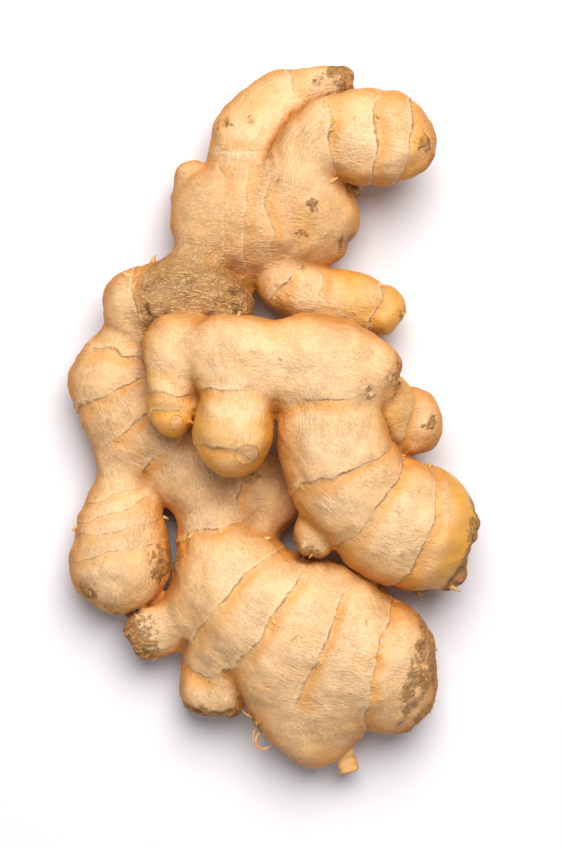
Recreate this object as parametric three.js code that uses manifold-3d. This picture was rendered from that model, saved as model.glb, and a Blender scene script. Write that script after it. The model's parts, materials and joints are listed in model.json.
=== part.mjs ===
// A hand of fresh ginger lying on a table, grown as one piece: an old woody knob with a long arc,
// an upper body and a raised middle body growing from it, each with its own fingers.
// Millimetres, +Z up, fingers spreading in the XY plane.

import * as THREE from "three";
import { mergeVertices } from "three/addons/utils/BufferGeometryUtils.js";
import Module from "manifold-3d";

// Driving dimensions.

const RISER_LIFT = 7.5; // how far the middle body and its fingers are carried above the knob
const REST_DEPTH = 1; // how much the underside is flattened where it rests
const ROOT_CAP = 0.6; // roundness of a finger's buried end, as a share of its half width
const SIDES = 14; // facets round a finger
const RINGS_PER_STEP = 2; // rings of facets along each step of a finger
const CAP_RINGS = 3; // rings of facets in each rounded end

// Each finger is a walk of equal steps from a place on the finger that it grows from.
// from, at: the parent, and the share of the way along the parent's axis
// length: the walk's length seen from above
// headings: the direction of each step, in degrees from +X towards +Y
// rises: the height gained in each step
// widths: the width at the start and after each step
// flat: thickness as a share of the width
// tip: length of the rounded end as a share of its half width
const FINGERS = [
  {
    name: "knob",
    length: 24,
    headings: [5, 0, -10],
    rises: [2, 1, -1],
    widths: [19, 20, 18, 13],
    flat: 0.9,
    tip: 0.75,
  },
  {
    name: "knob_ear",
    from: "knob",
    at: 0,
    length: 6,
    headings: [175, 170],
    rises: [0, -0.5],
    widths: [18, 14, 7],
    flat: 0.9,
    tip: 0.9,
  },
  {
    name: "arc",
    from: "knob",
    at: 0,
    length: 70,
    headings: [-100, -108, -62, -45, -42, -28, -15],
    rises: [-2, -3, -1, 0, 0, 0, 0],
    widths: [13, 13, 26, 28, 25, 24, 22, 20],
    flat: 0.8,
    tip: 0.9,
  },
  {
    name: "left_finger",
    from: "arc",
    at: 0.36,
    length: 42,
    headings: [-95, -94, -90, -93],
    rises: [0, 0, 0, 0],
    widths: [20, 15.5, 12.5, 22, 26.5],
    flat: 0.87,
    tip: 1,
  },
  {
    name: "base_body",
    from: "arc",
    at: 0.76,
    length: 78,
    headings: [-83, -78, -61, -47, -35, -24, -14, -14],
    rises: [1, 1, 1.4, 1, 0, 0, 0, 0],
    widths: [22, 18, 22, 30.5, 34, 34.5, 35, 35, 31],
    flat: 0.885,
    tip: 0.35,
  },
  {
    name: "left_stub",
    from: "base_body",
    at: 0.38,
    length: 28.5,
    headings: [-142, -153, -162],
    rises: [-1.5, -1.5, -0.5],
    widths: [24, 20, 15.5, 13.5],
    flat: 0.9,
    tip: 0.75,
  },
  {
    name: "lower_stub",
    from: "base_body",
    at: 0.43,
    length: 29,
    headings: [-118, -110, -97],
    rises: [-1.5, -2, -1],
    widths: [28, 25, 19, 18],
    flat: 0.9,
    tip: 0.65,
  },
  {
    name: "bottom_nub",
    from: "base_body",
    at: 0.69,
    length: 29.5,
    headings: [-90, -89, -89, -92],
    rises: [-1, -1, -1, -1.5],
    widths: [44, 39, 31, 20, 6],
    flat: 0.68,
    tip: 1,
  },
  {
    name: "nub_shoulder",
    from: "bottom_nub",
    at: 0.33,
    length: 14,
    headings: [-55, -62],
    rises: [-1, -1],
    widths: [24, 18, 8],
    flat: 0.75,
    tip: 0.9,
  },
  {
    name: "stalk",
    from: "bottom_nub",
    at: 0.5,
    length: 14,
    headings: [-60, -55, -75],
    rises: [-1.5, -1, -0.5],
    widths: [9, 7.5, 5, 4],
    flat: 0.9,
    tip: 0.7,
  },
  {
    name: "base_corner",
    from: "base_body",
    at: 0.9,
    length: 14,
    headings: [40, 35],
    rises: [0, 0],
    widths: [22, 15, 5],
    flat: 0.9,
    tip: 0.9,
  },
  {
    name: "base_heel",
    from: "base_body",
    at: 0.9,
    length: 14,
    headings: [-60, -35],
    rises: [-1, -2],
    widths: [32, 25, 16],
    flat: 0.9,
    tip: 0.7,
  },
  {
    name: "riser",
    from: "knob",
    at: 0.66,
    length: 14.5,
    headings: [-114, -114],
    rises: [RISER_LIFT / 2, RISER_LIFT / 2],
    widths: [13, 12, 13],
    flat: 0.9,
    tip: 0.9,
  },
  {
    name: "middle_body",
    from: "riser",
    at: 1,
    length: 48.5,
    headings: [-4, -8, -5, -6, -8],
    rises: [4, 1, 0.5, -0.5, -2],
    widths: [16.5, 17.5, 20, 21.5, 21.5, 18.5],
    flat: 0.9,
    tip: 0.8,
  },
  {
    name: "small_finger",
    from: "middle_body",
    at: 0,
    length: 15,
    headings: [-97, -95, -92],
    rises: [1.5, 0, 0],
    widths: [14.5, 13, 14, 12.5],
    flat: 0.95,
    tip: 1,
  },
  {
    name: "middle_finger",
    from: "middle_body",
    at: 0.3,
    length: 20.5,
    headings: [-88, -90, -97],
    rises: [1.5, 0.5, 0],
    widths: [20, 18, 19.5, 20],
    flat: 0.95,
    tip: 0.95,
  },
  {
    name: "big_finger",
    from: "middle_body",
    at: 0.76,
    length: 57,
    headings: [-86, -78, -68, -46, -34, -14],
    rises: [-1, -1.5, -2.5, -3, -3.5, -3],
    widths: [24, 25, 27.5, 29.5, 29.5, 33, 32],
    flat: 0.85,
    tip: 0.6,
  },
  {
    name: "big_stub",
    from: "big_finger",
    at: 0.5,
    length: 20,
    headings: [-118, -118],
    rises: [-3, -2],
    widths: [18, 14, 9],
    flat: 0.9,
    tip: 0.8,
  },
  {
    name: "big_spur",
    from: "big_finger",
    at: 0.83,
    length: 17.5,
    headings: [-88, -60],
    rises: [-5, -3],
    widths: [20, 12, 4.5],
    flat: 0.9,
    tip: 1,
  },
  {
    name: "big_heel",
    from: "big_finger",
    at: 0.97,
    length: 12.5,
    headings: [-80, -58],
    rises: [-1.5, -1.5],
    widths: [20, 15, 9],
    flat: 0.9,
    tip: 0.8,
  },
  {
    name: "rear_finger",
    from: "middle_body",
    at: 0.97,
    length: 19,
    headings: [-75, -45, -18],
    rises: [-5, -5, -3],
    widths: [17, 18, 20, 18.5],
    flat: 0.9,
    tip: 0.95,
  },
  {
    name: "neck",
    from: "knob",
    at: 0.66,
    length: 23,
    headings: [95, 68, 66],
    rises: [-2.3, -2.3, -2.3],
    widths: [16, 14, 15, 22],
    flat: 0.9,
    tip: 0.9,
  },
  {
    name: "upper_body",
    from: "neck",
    at: 1,
    length: 26,
    headings: [2, 0, -1, -4],
    rises: [0, 0, 0, 0.5],
    widths: [26, 30, 31, 30.5, 27],
    flat: 0.85,
    tip: 0.45,
  },
  {
    name: "upper_left_finger",
    from: "upper_body",
    at: 0.29,
    length: 51,
    headings: [85, 105, 63, 42, 24, 8],
    rises: [0, -0.5, -0.5, -0.5, -0.5, -0.5],
    widths: [22, 19, 19.5, 18, 14.8, 10, 7],
    flat: 0.9,
    tip: 1,
  },
  {
    name: "upper_right_finger",
    from: "upper_body",
    at: 0.86,
    length: 39,
    headings: [105, 72, 38, 0, -8],
    rises: [3, 3, 1.5, 0.5, -0.5],
    widths: [25, 22, 20.5, 22, 24.5, 23.5],
    flat: 0.9,
    tip: 0.85,
  },
  {
    name: "side_bud",
    from: "upper_body",
    at: 0,
    length: 13.5,
    headings: [155, 99],
    rises: [-0.5, -1],
    widths: [17, 12.5, 9.5],
    flat: 0.9,
    tip: 1.1,
  },
  {
    name: "lower_finger",
    from: "upper_body",
    at: 0.57,
    length: 42.5,
    headings: [-90, -80, -24, -12, -14],
    rises: [0.5, 1, -0.5, -0.5, -1.5],
    widths: [18, 16.5, 15.5, 14.5, 16, 15],
    flat: 0.9,
    tip: 0.9,
  },
  {
    name: "lower_nub",
    from: "upper_body",
    at: 0.29,
    length: 17,
    headings: [-96, -93],
    rises: [1, -1],
    widths: [24, 16, 7],
    flat: 0.9,
    tip: 1,
  },
  {
    name: "upper_corner",
    from: "upper_body",
    at: 0.86,
    length: 13,
    headings: [50, 15],
    rises: [2, -0.5],
    widths: [20, 12, 4.5],
    flat: 0.9,
    tip: 0.9,
  },
  {
    name: "lower_bump",
    from: "upper_body",
    at: 0.86,
    length: 8,
    headings: [-50, -50],
    rises: [0, 0],
    widths: [20, 16, 12.5],
    flat: 0.9,
    tip: 0.8,
  },
];

const wasm = await Module();
wasm.setup();

// The axis of a finger: a smooth curve through the ends of its steps.
function axisOf(finger, start) {
  const step = finger.length / finger.headings.length;
  const points = [start];
  finger.headings.forEach((heading, i) => {
    const angle = THREE.MathUtils.degToRad(heading);
    const move = new THREE.Vector3(step * Math.cos(angle), step * Math.sin(angle), finger.rises[i]);
    points.push(points[i].clone().add(move));
  });
  return new THREE.CatmullRomCurve3(points);
}

// The outline of a finger turned about Y, with Y from -1 to 0 in its buried end, from 0 to 1
// along its axis and from 1 to 2 in its tip.
function outlineOf(finger) {
  const halfWidths = new THREE.SplineCurve(finger.widths.map((width, i) => new THREE.Vector2(i, width / 2)));
  const rings = finger.headings.length * RINGS_PER_STEP;
  const outline = [];
  for (let i = 0; i < CAP_RINGS; i++) {
    const angle = ((i / CAP_RINGS) * Math.PI) / 2;
    outline.push(new THREE.Vector2((finger.widths[0] / 2) * Math.sin(angle), -Math.cos(angle)));
  }
  for (let i = 0; i <= rings; i++) {
    outline.push(new THREE.Vector2(halfWidths.getPoint(i / rings).y, i / rings));
  }
  for (let i = CAP_RINGS - 1; i >= 0; i--) {
    const angle = ((i / CAP_RINGS) * Math.PI) / 2;
    outline.push(new THREE.Vector2((finger.widths.at(-1) / 2) * Math.sin(angle), 1 + Math.cos(angle)));
  }
  return outline;
}

// The turned outline, bent along the finger's axis and flattened.
function fingerGeometry(finger, axis) {
  const geometry = new THREE.LatheGeometry(outlineOf(finger), SIDES);
  const position = geometry.getAttribute("position");
  const rootCap = (ROOT_CAP * finger.widths[0]) / 2;
  const tipCap = (finger.tip * finger.widths.at(-1)) / 2;
  for (let i = 0; i < position.count; i++) {
    const along = position.getY(i);
    const share = THREE.MathUtils.clamp(along, 0, 1);
    const tangent = axis.getTangent(share);
    const side = new THREE.Vector3().crossVectors(tangent, new THREE.Vector3(0, 0, 1)).normalize();
    const up = new THREE.Vector3().crossVectors(side, tangent);
    const beyond = Math.min(along, 0) * rootCap + Math.max(along - 1, 0) * tipCap;
    const point = axis
      .getPoint(share)
      .addScaledVector(tangent, beyond)
      .addScaledVector(side, position.getX(i))
      .addScaledVector(up, position.getZ(i) * finger.flat);
    position.setXYZ(i, point.x, point.y, point.z);
  }
  return geometry;
}

// A closed geometry as a solid that can be joined and cut.
function solidOf(geometry) {
  geometry.deleteAttribute("normal");
  geometry.deleteAttribute("uv");
  const merged = mergeVertices(geometry, 1e-4);
  return new wasm.Manifold(
    new wasm.Mesh({
      numProp: 3,
      vertProperties: merged.getAttribute("position").array,
      triVerts: new Uint32Array(merged.index.array),
    }),
  );
}

// A solid as a geometry for a mesh.
function geometryOf(solid) {
  const { vertProperties, triVerts } = solid.getMesh();
  const geometry = new THREE.BufferGeometry();
  geometry.setAttribute("position", new THREE.BufferAttribute(vertProperties, 3));
  geometry.setIndex(new THREE.BufferAttribute(triVerts, 1));
  geometry.computeVertexNormals();
  return geometry;
}

// All the fingers joined into one body.
function grownSolid() {
  const axes = {};
  let grown = null;
  for (const finger of FINGERS) {
    const start = finger.from ? axes[finger.from].getPoint(finger.at) : new THREE.Vector3();
    axes[finger.name] = axisOf(finger, start);
    const solid = solidOf(fingerGeometry(finger, axes[finger.name]));
    grown = grown ? grown.add(solid) : solid;
  }
  return grown;
}

// The underside cut flat by a block as large as the root, which stands in for the table.
function restedSolid(solid) {
  const box = new THREE.Box3().setFromBufferAttribute(geometryOf(solid).getAttribute("position"));
  const size = box.getSize(new THREE.Vector3()).multiplyScalar(2);
  const centre = box.getCenter(new THREE.Vector3());
  const table = new THREE.BoxGeometry(size.x, size.y, size.z);
  table.translate(centre.x, centre.y, box.min.z + REST_DEPTH - size.z / 2);
  return solid.subtract(solidOf(table));
}

// The origin is the bottom centre of the root's box.
function centred(geometry) {
  const box = new THREE.Box3().setFromBufferAttribute(geometry.getAttribute("position"));
  const centre = box.getCenter(new THREE.Vector3());
  return geometry.translate(-centre.x, -centre.y, -box.min.z);
}

const skin = new THREE.MeshStandardMaterial({ color: 0xd8b076, roughness: 0.75, metalness: 0 });
const root = new THREE.Mesh(centred(geometryOf(restedSolid(grownSolid()))), skin);
root.name = "ginger_root";

const group = new THREE.Group();
group.add(root);
export default group;
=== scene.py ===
"""A hand of fresh ginger: papery skin over a many-fingered root, with its scars, flakes and fibres."""

import json
import math

import bpy
import numpy as np
from bpy.props import FloatProperty, FloatVectorProperty, IntProperty, PointerProperty
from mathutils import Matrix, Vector, noise

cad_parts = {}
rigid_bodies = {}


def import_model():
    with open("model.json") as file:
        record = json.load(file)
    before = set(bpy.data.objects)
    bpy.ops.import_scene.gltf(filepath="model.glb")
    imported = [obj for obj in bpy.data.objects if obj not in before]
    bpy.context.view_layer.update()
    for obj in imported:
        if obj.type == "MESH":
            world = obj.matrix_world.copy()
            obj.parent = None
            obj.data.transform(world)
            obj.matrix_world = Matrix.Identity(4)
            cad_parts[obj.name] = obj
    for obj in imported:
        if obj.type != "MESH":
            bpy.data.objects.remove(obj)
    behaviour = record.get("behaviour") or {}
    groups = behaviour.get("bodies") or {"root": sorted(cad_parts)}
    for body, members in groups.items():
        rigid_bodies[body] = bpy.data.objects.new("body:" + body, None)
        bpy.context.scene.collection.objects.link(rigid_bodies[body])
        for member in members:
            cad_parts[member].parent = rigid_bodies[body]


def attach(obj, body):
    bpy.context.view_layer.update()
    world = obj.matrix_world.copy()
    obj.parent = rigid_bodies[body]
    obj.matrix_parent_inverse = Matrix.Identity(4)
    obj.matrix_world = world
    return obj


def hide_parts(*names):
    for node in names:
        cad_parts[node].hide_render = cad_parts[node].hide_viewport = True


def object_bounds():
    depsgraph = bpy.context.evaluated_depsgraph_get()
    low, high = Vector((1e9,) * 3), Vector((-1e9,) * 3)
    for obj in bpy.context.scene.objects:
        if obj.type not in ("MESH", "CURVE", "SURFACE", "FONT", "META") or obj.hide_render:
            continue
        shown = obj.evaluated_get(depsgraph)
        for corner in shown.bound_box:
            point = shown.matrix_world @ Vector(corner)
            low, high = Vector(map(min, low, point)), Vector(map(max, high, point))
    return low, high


bl_info = {
    "name": "Ginger Root",
    "version": (1, 0, 0),
    "blender": (4, 5, 0),
    "location": "3D View > Sidebar > Ginger",
    "description": "Builds a hand of fresh ginger around its packed frame",
    "category": "Add Mesh",
}

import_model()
CAD_LOW, CAD_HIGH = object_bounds()
NODE = "ginger_root"
MM = 0.001

# ---------------------------------------------------------------- how the root grows
# Each finger is a walk of equal steps from a place on the finger it grows from, in millimetres
# and degrees, as in the solid model, with the knob a little slimmer.
# at: the share of the way along the parent. flat: thickness as a share of the width.
# tip: length of the rounded end, and cut: where a broken end is cut flat past the axis's end, both
# as shares of the half width. web: width of the smooth fillet to the parent.
# rings: leaf scars, as shares of the way along. lean: how far the scars slant. scar: how clear
# they are. end: blunt, broken, pitted, gold or disc. worn: how far cork reaches back from the end.
# woody, dull: how coarse the skin is, and how far a finger's skin is turned to the dull dusty colour, which
# also weakens its painted highlight. lead: how far a body's skin runs on over the swellings of the fingers
# that leave it.

ROOT_SUNK = 1  # how deep the lowest skin is pressed flat against the floor, in millimetres

FINGERS = [
    dict(name="knob", length=24, headings=(5, 0, -10), rises=(2, 1, -1), widths=(17.5, 20, 18, 13),
         flat=0.9, tip=0.75, rings=(0.06,), woody=1.0),
    dict(name="knob_ear", parent="knob", at=0, length=6, headings=(175, 170), rises=(0, -0.5),
         widths=(15, 10, 6), flat=0.9, tip=0.9, web=4, end="blunt"),
    dict(name="arc", parent="knob", at=0, length=70, headings=(-100, -108, -62, -45, -42, -28, -15),
         rises=(-2, -3, -1, 0, 0, 0, 0), widths=(13, 13, 26, 28, 25, 24, 22, 20), flat=0.8, tip=0.9,
         dull=0.4, web=6, rings=(0.09, 0.17, 0.31, 0.44, 0.6, 0.74, 0.9)),
    dict(name="left_finger", parent="arc", at=0.36, length=42, headings=(-95, -94, -90, -93),
         rises=(0, 0, 0, 0), widths=(20, 15.5, 12.5, 22, 26.5), flat=0.87, tip=1, web=3,
         rings=(0.22, 0.58, 0.68, 0.79, 0.93), lean=0.3, scar=0.5, worn=8, end="blunt"),
    dict(name="base_body", parent="arc", at=0.76, length=78,
         headings=(-83, -78, -61, -47, -35, -24, -14, -14), rises=(1, 1, 1.4, 1, 0, 0, 0, 0),
         widths=(22, 18, 22, 30.5, 34, 34.5, 35, 35, 31), flat=0.885, tip=0.35, lead=3.5, web=5,
         rings=(0.19, 0.4, 0.53, 0.72, 0.91), worn=2, end="pitted", cut=0.1),
    dict(name="left_stub", parent="base_body", at=0.38, length=28.5, headings=(-142, -153, -162),
         rises=(-1.5, -1.5, -0.5), widths=(24, 20, 15.5, 13.5), flat=0.9, tip=0.75, web=6,
         rings=(0.45,), worn=12, end="broken", cut=0.5),
    dict(name="lower_stub", parent="base_body", at=0.43, length=29, headings=(-118, -110, -97),
         rises=(-1.5, -2, -1), widths=(28, 25, 19, 18), flat=0.9, tip=0.65, web=5,
         rings=(0.4, 0.72), worn=5, end="broken", cut=0.4),
    dict(name="bottom_nub", parent="base_body", at=0.69, length=29.5, headings=(-90, -89, -89, -92),
         rises=(-1, -1, -1, -1.5), widths=(44, 39, 31, 20, 6), flat=0.68, tip=1, web=5,
         end="blunt"),
    dict(name="nub_shoulder", parent="bottom_nub", at=0.33, length=14, headings=(-55, -62), rises=(-1, -1),
         widths=(24, 18, 8), flat=0.75, tip=0.9, web=3, end="blunt"),
    dict(name="base_corner", parent="base_body", at=0.9, length=14, headings=(40, 35), rises=(0, 0),
         widths=(22, 15, 5), flat=0.9, tip=0.9, web=4, end="broken"),
    dict(name="base_heel", parent="base_body", at=0.9, length=14, headings=(-60, -35), rises=(-1, -2),
         widths=(32, 25, 16), flat=0.9, tip=0.7, web=4, worn=6, end="broken"),
    dict(name="riser", parent="knob", at=0.66, length=14.5, headings=(-114, -114), rises=(3.75, 3.75),
         widths=(13, 12, 13), flat=0.9, tip=0.9, web=3),
    dict(name="middle_body", parent="riser", at=1, length=48.5, headings=(-4, -8, -5, -6, -8),
         rises=(4, 1, 0.5, -0.5, -2), widths=(16.5, 17.5, 20, 21.5, 21.5, 18.5), flat=0.9, tip=0.8,
         lead=1.0, web=6, rings=(0.74,), end="pitted"),
    dict(name="small_finger", parent="middle_body", at=0, length=15, headings=(-97, -95, -92),
         rises=(1.5, 0, 0), widths=(14.5, 13, 14, 12.5), flat=0.95, tip=1, web=4,
         rings=(0.3, 0.72, 1.05), end="gold"),
    dict(name="middle_finger", parent="middle_body", at=0.3, length=20.5, headings=(-88, -90, -97),
         rises=(1.5, 0.5, 0), widths=(20, 18, 19.5, 20), flat=0.95, tip=0.95, web=5,
         rings=(0.42, 1.15), end="disc"),
    dict(name="big_finger", parent="middle_body", at=0.76, length=57,
         headings=(-86, -78, -68, -46, -34, -14), rises=(-1, -1.5, -2.5, -3, -3.5, -3),
         widths=(24, 25, 27.5, 29.5, 29.5, 33, 32), flat=0.85, tip=0.6, web=6,
         rings=(0.12, 0.42, 0.62, 0.86), worn=5, end="broken", cut=0.4),
    dict(name="big_stub", parent="big_finger", at=0.5, length=20, headings=(-118, -118), rises=(-3, -2),
         widths=(18, 14, 9), flat=0.9, tip=0.8, web=1.5, end="broken", cut=0.3),
    dict(name="big_spur", parent="big_finger", at=0.83, length=17.5, headings=(-88, -60),
         rises=(-5, -3), widths=(20, 12, 4.5), flat=0.9, tip=1, web=4, end="broken"),
    dict(name="big_heel", parent="big_finger", at=0.97, length=12.5, headings=(-80, -58), rises=(-1.5, -1.5),
         widths=(20, 15, 9), flat=0.9, tip=0.8, web=3, end="broken"),
    dict(name="rear_finger", parent="middle_body", at=0.97, length=19, headings=(-75, -45, -18),
         rises=(-5, -5, -3), widths=(17, 18, 20, 18.5), flat=0.9, tip=0.95, web=3,
         rings=(0.8,), end="blunt"),
    dict(name="neck", parent="knob", at=0.66, length=23, headings=(95, 68, 66), rises=(-2.3, -2.3, -2.3),
         widths=(16, 14, 15, 22), flat=0.9, tip=0.9, web=4, rings=(0.55,), woody=0.5, dull=0.6),
    dict(name="upper_body", parent="neck", at=1, length=26, headings=(2, 0, -1, -4),
         rises=(0, 0, 0, 0.5), widths=(26, 30, 31, 30.5, 27), flat=0.85, tip=0.45, lead=1.5, dull=1,
         scar=0.5, web=5, rings=(0.02, 0.24, 0.48), worn=2, end="broken", cut=0.35),
    dict(name="upper_left_finger", parent="upper_body", at=0.29, length=51,
         headings=(85, 105, 63, 42, 24, 8), rises=(0, -0.5, -0.5, -0.5, -0.5, -0.5),
         widths=(22, 19, 19.5, 18, 14.8, 10, 7), flat=0.9, tip=1, web=2.5,
         rings=(0.31, 0.74), scar=0.7, worn=12, end="broken", cut=0.6),
    dict(name="upper_right_finger", parent="upper_body", at=0.86, length=39,
         headings=(105, 72, 38, 0, -8), rises=(3, 3, 1.5, 0.5, -0.5),
         widths=(25, 22, 20.5, 22, 24.5, 23.5), flat=0.9, tip=0.85, web=3.5,
         rings=(0.6, 0.86, 1.06), worn=8, end="blunt"),
    dict(name="side_bud", parent="upper_body", at=0, length=13.5, headings=(155, 99), rises=(-0.5, -1),
         widths=(17, 12.5, 9.5), flat=0.9, tip=1.1, web=2, rings=(0.7,), dull=0.5),
    dict(name="lower_finger", parent="upper_body", at=0.57, length=42.5, headings=(-90, -80, -24, -12, -14),
         rises=(0.5, 1, -0.5, -0.5, -1.5), widths=(18, 16.5, 15.5, 14.5, 16, 15), flat=0.9, tip=0.9, web=2,
         rings=(0.42, 0.6, 0.95), end="gold"),
    dict(name="lower_nub", parent="upper_body", at=0.29, length=17, headings=(-96, -93), rises=(1, -1),
         widths=(24, 16, 7), flat=0.9, tip=1, web=4, end="gold"),
    dict(name="upper_corner", parent="upper_body", at=0.86, length=13, headings=(50, 15),
         rises=(2, -0.5), widths=(20, 12, 4.5), flat=0.9, tip=0.9, web=4, end="broken"),
    dict(name="lower_bump", parent="upper_body", at=0.86, length=8, headings=(-50, -50), rises=(0, 0),
         widths=(20, 16, 12.5), flat=0.9, tip=0.8, web=5),
]

# Sizes of the field in millimetres.
MARGIN = 2.0
SAMPLE_STEP = 1.1
FEWEST_SAMPLES = 8
WIDEST_WEB = 7.0
FAR = 30.0
EMPTY = 40.0
CUT_ROUND = 2.0
MENDED = -0.02  # what a filled point is set to, in grid steps
NO_WEIGHT = 1e-6


def spline(values, share):
    """Catmull-Rom through evenly spaced values, at shares from 0 to 1."""
    v = np.asarray(values, float)
    v = v.reshape(len(v), -1)
    ends = np.vstack([2 * v[0] - v[1], v, 2 * v[-1] - v[-2]])
    x = np.clip(np.asarray(share, float), 0, 1) * (len(v) - 1)
    i = np.minimum(x.astype(int), len(v) - 2)
    t = (x - i)[:, None]
    a, b, c, d = ends[i], ends[i + 1], ends[i + 2], ends[i + 3]
    return 0.5 * (2 * b + (c - a) * t + (2 * a - 5 * b + 4 * c - d) * t**2 + (3 * b - a - 3 * c + d) * t**3)


def smooth_step(low, high, x):
    """0 below low, 1 above high, smooth between."""
    t = np.clip((x - low) / (high - low), 0, 1)
    return t * t * (3 - 2 * t)


def smooth_min(a, b, width):
    """The lower of two fields, and how much the two are blended, from 0 to 1."""
    h = np.maximum(width - np.abs(a - b), 0) / width
    return np.minimum(a, b) - h * h * width / 4, h


class Finger:
    """A finger's axis as close samples, each with its half width and its own upright frame."""

    def __init__(self, facts, start):
        self.facts = facts
        steps = len(facts["headings"])
        turn = np.radians(facts["headings"])
        run = facts["length"] / steps
        moves = np.stack([run * np.cos(turn), run * np.sin(turn), np.array(facts["rises"], float)], 1)
        self.knots = np.vstack([start, start + np.cumsum(moves, 0)])
        self.count = max(int(facts["length"] / SAMPLE_STEP), FEWEST_SAMPLES)
        share = np.linspace(0, 1, self.count)
        centre = spline(self.knots, share)
        tangent = np.gradient(centre, axis=0)
        tangent /= np.linalg.norm(tangent, axis=1)[:, None]
        side = np.cross(tangent, (0.0, 0.0, 1.0))
        side /= np.linalg.norm(side, axis=1)[:, None]
        self.share, self.centre, self.tangent, self.side = share, centre, tangent, side
        self.up = np.cross(side, tangent)
        self.radius = spline(facts["widths"], share)[:, 0] / 2
        self.along = np.concatenate([[0], np.cumsum(np.linalg.norm(np.diff(centre, axis=0), axis=1))])
        self.length = self.along[-1]
        self.flat = facts["flat"]
        self.reach = self.radius[-1] * facts["tip"]
        self.low = (centre - self.radius[:, None]).min(0)
        self.high = (centre + self.radius[:, None]).max(0)
        # balls that make up the body: those near the end keep inside the tip's reach
        self.room = np.minimum(self.radius, self.length - self.along + self.reach)

    def at(self, share):
        """The place of the axis at a share of the way along."""
        return spline(self.knots, [share])[0]

    def field(self, grid, spread):
        """Distance to the finger's surface on the grid's points near it, below 0 inside it."""
        self.window = grid.window(self.low - spread, self.high + spread)
        x, y, z = grid.axes(self.window)
        best = np.full((len(x), len(y), len(z)), FAR, np.float32)
        for c, r, up in zip(self.centre, self.room, self.up):
            reach = r + spread
            i, j, k = (slice(*np.searchsorted(a, (m - reach, m + reach))) for a, m in zip((x, y, z), c))
            dx = (x[i] - c[0])[:, None, None]
            dy = (y[j] - c[1])[None, :, None]
            dz = (z[k] - c[2])[None, None, :]
            height = dx * up[0] + dy * up[1] + dz * up[2]
            q = dx * dx + dy * dy + dz * dz + height * height * (1 / self.flat**2 - 1)
            q = np.sqrt(q) - r
            np.minimum(best[i, j, k], q, out=best[i, j, k])
        if "cut" in self.facts:
            c, t = self.centre[-1], self.tangent[-1]
            past = ((x - c[0]) * t[0])[:, None, None] + ((y - c[1]) * t[1])[None, :, None]
            past = past + ((z - c[2]) * t[2])[None, None, :] - self.facts["cut"] * self.radius[-1]
            h = np.maximum(CUT_ROUND - np.abs(best - past), 0) / CUT_ROUND
            best = np.maximum(best, past) + h * h * CUT_ROUND / 4
        self.values = best.astype(np.float32)

    def within(self, window):
        """The finger's field on another window, far away where it wasn't worked out."""
        out = np.full([w.stop - w.start for w in window], FAR, np.float32)
        both = [(max(a.start, b.start), min(a.stop, b.stop)) for a, b in zip(window, self.window)]
        if all(low < high for low, high in both):
            here = tuple(slice(low - w.start, high - w.start) for (low, high), w in zip(both, window))
            there = tuple(slice(low - w.start, high - w.start) for (low, high), w in zip(both, self.window))
            out[here] = self.values[there]
        return out

    def straightened(self, points):
        """Points in the finger's own straight frame: along, aside and above, and their distance."""
        nearest = np.zeros(len(points), int)
        best = np.full(len(points), FAR)
        for i, (c, r, up) in enumerate(zip(self.centre, self.room, self.up)):
            d = points - c
            height = d @ up
            q = np.sqrt((d * d).sum(1) + height * height * (1 / self.flat**2 - 1)) - r
            nearer = q < best
            nearest[nearer] = i
            best[nearer] = q[nearer]
        d = points - self.centre[nearest]
        past = np.einsum("ij,ij->i", d, self.tangent[nearest])
        aside = np.einsum("ij,ij->i", d, self.side[nearest])
        above = np.einsum("ij,ij->i", d, self.up[nearest])
        return np.stack([self.along[nearest] + past, aside, above], 1), best

    def spot(self, share, turn):
        """A point on the surface, turned in degrees from the top towards the finger's right."""
        i = min(int(round(share * (self.count - 1))), self.count - 1)
        a = math.radians(turn)
        r = self.radius[i]
        out = self.side[i] * math.sin(a) * r + self.up[i] * math.cos(a) * r * self.flat
        past = max(share - 1, 0) * self.length
        return self.centre[i] + out + self.tangent[i] * past


def grow():
    """Every finger, each set off from its parent."""
    fingers = {}
    for facts in FINGERS:
        parent = facts.get("parent")
        start = fingers[parent].at(facts["at"]) if parent else np.zeros(3)
        fingers[facts["name"]] = Finger(facts, start)
    return fingers


class Grid:
    """A block of evenly spaced points that the root's field is worked out on."""

    def __init__(self, low, high, step):
        self.low, self.step = np.asarray(low, float), step
        self.shape = tuple(np.ceil((np.asarray(high) - low) / step).astype(int) + 1)
        self.values = np.full(self.shape, EMPTY, np.float32)

    def window(self, low, high):
        """The slices of the block that cover a box."""
        a = np.clip(np.floor((low - self.low) / self.step).astype(int), 0, np.array(self.shape) - 1)
        b = np.clip(np.ceil((high - self.low) / self.step).astype(int) + 1, 1, self.shape)
        return tuple(slice(i, j) for i, j in zip(a, b))

    def axes(self, window):
        """The window's places along X, Y and Z."""
        return [self.low[k] + self.step * np.arange(w.start, w.stop) for k, w in enumerate(window)]


def root_field(fingers, step):
    """The whole root: each finger joined to its parent by a fillet, and to nothing else."""
    low = np.min([f.low for f in fingers.values()], 0) - MARGIN
    high = np.max([f.high for f in fingers.values()], 0) + MARGIN
    grid = Grid(low, high, step)
    for finger in fingers.values():
        finger.field(grid, MARGIN + WIDEST_WEB)
        own = finger.values
        parent = finger.facts.get("parent")
        if parent:
            own, _ = smooth_min(own, fingers[parent].within(finger.window), finger.facts["web"])
        block = grid.values[finger.window]
        np.minimum(block, own, out=block)
    return grid


CORNERS = [(i, j, k) for i in (0, 1) for j in (0, 1) for k in (0, 1)]


def at_corner(field, corner):
    """The field at one corner of every cell."""
    return field[tuple(slice(c, c + n - 1) for c, n in zip(corner, field.shape))]


def corners_inside(inside):
    """How many of each cell's eight corners are inside."""
    return sum(at_corner(inside, corner).astype(np.int8) for corner in CORNERS)


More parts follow.
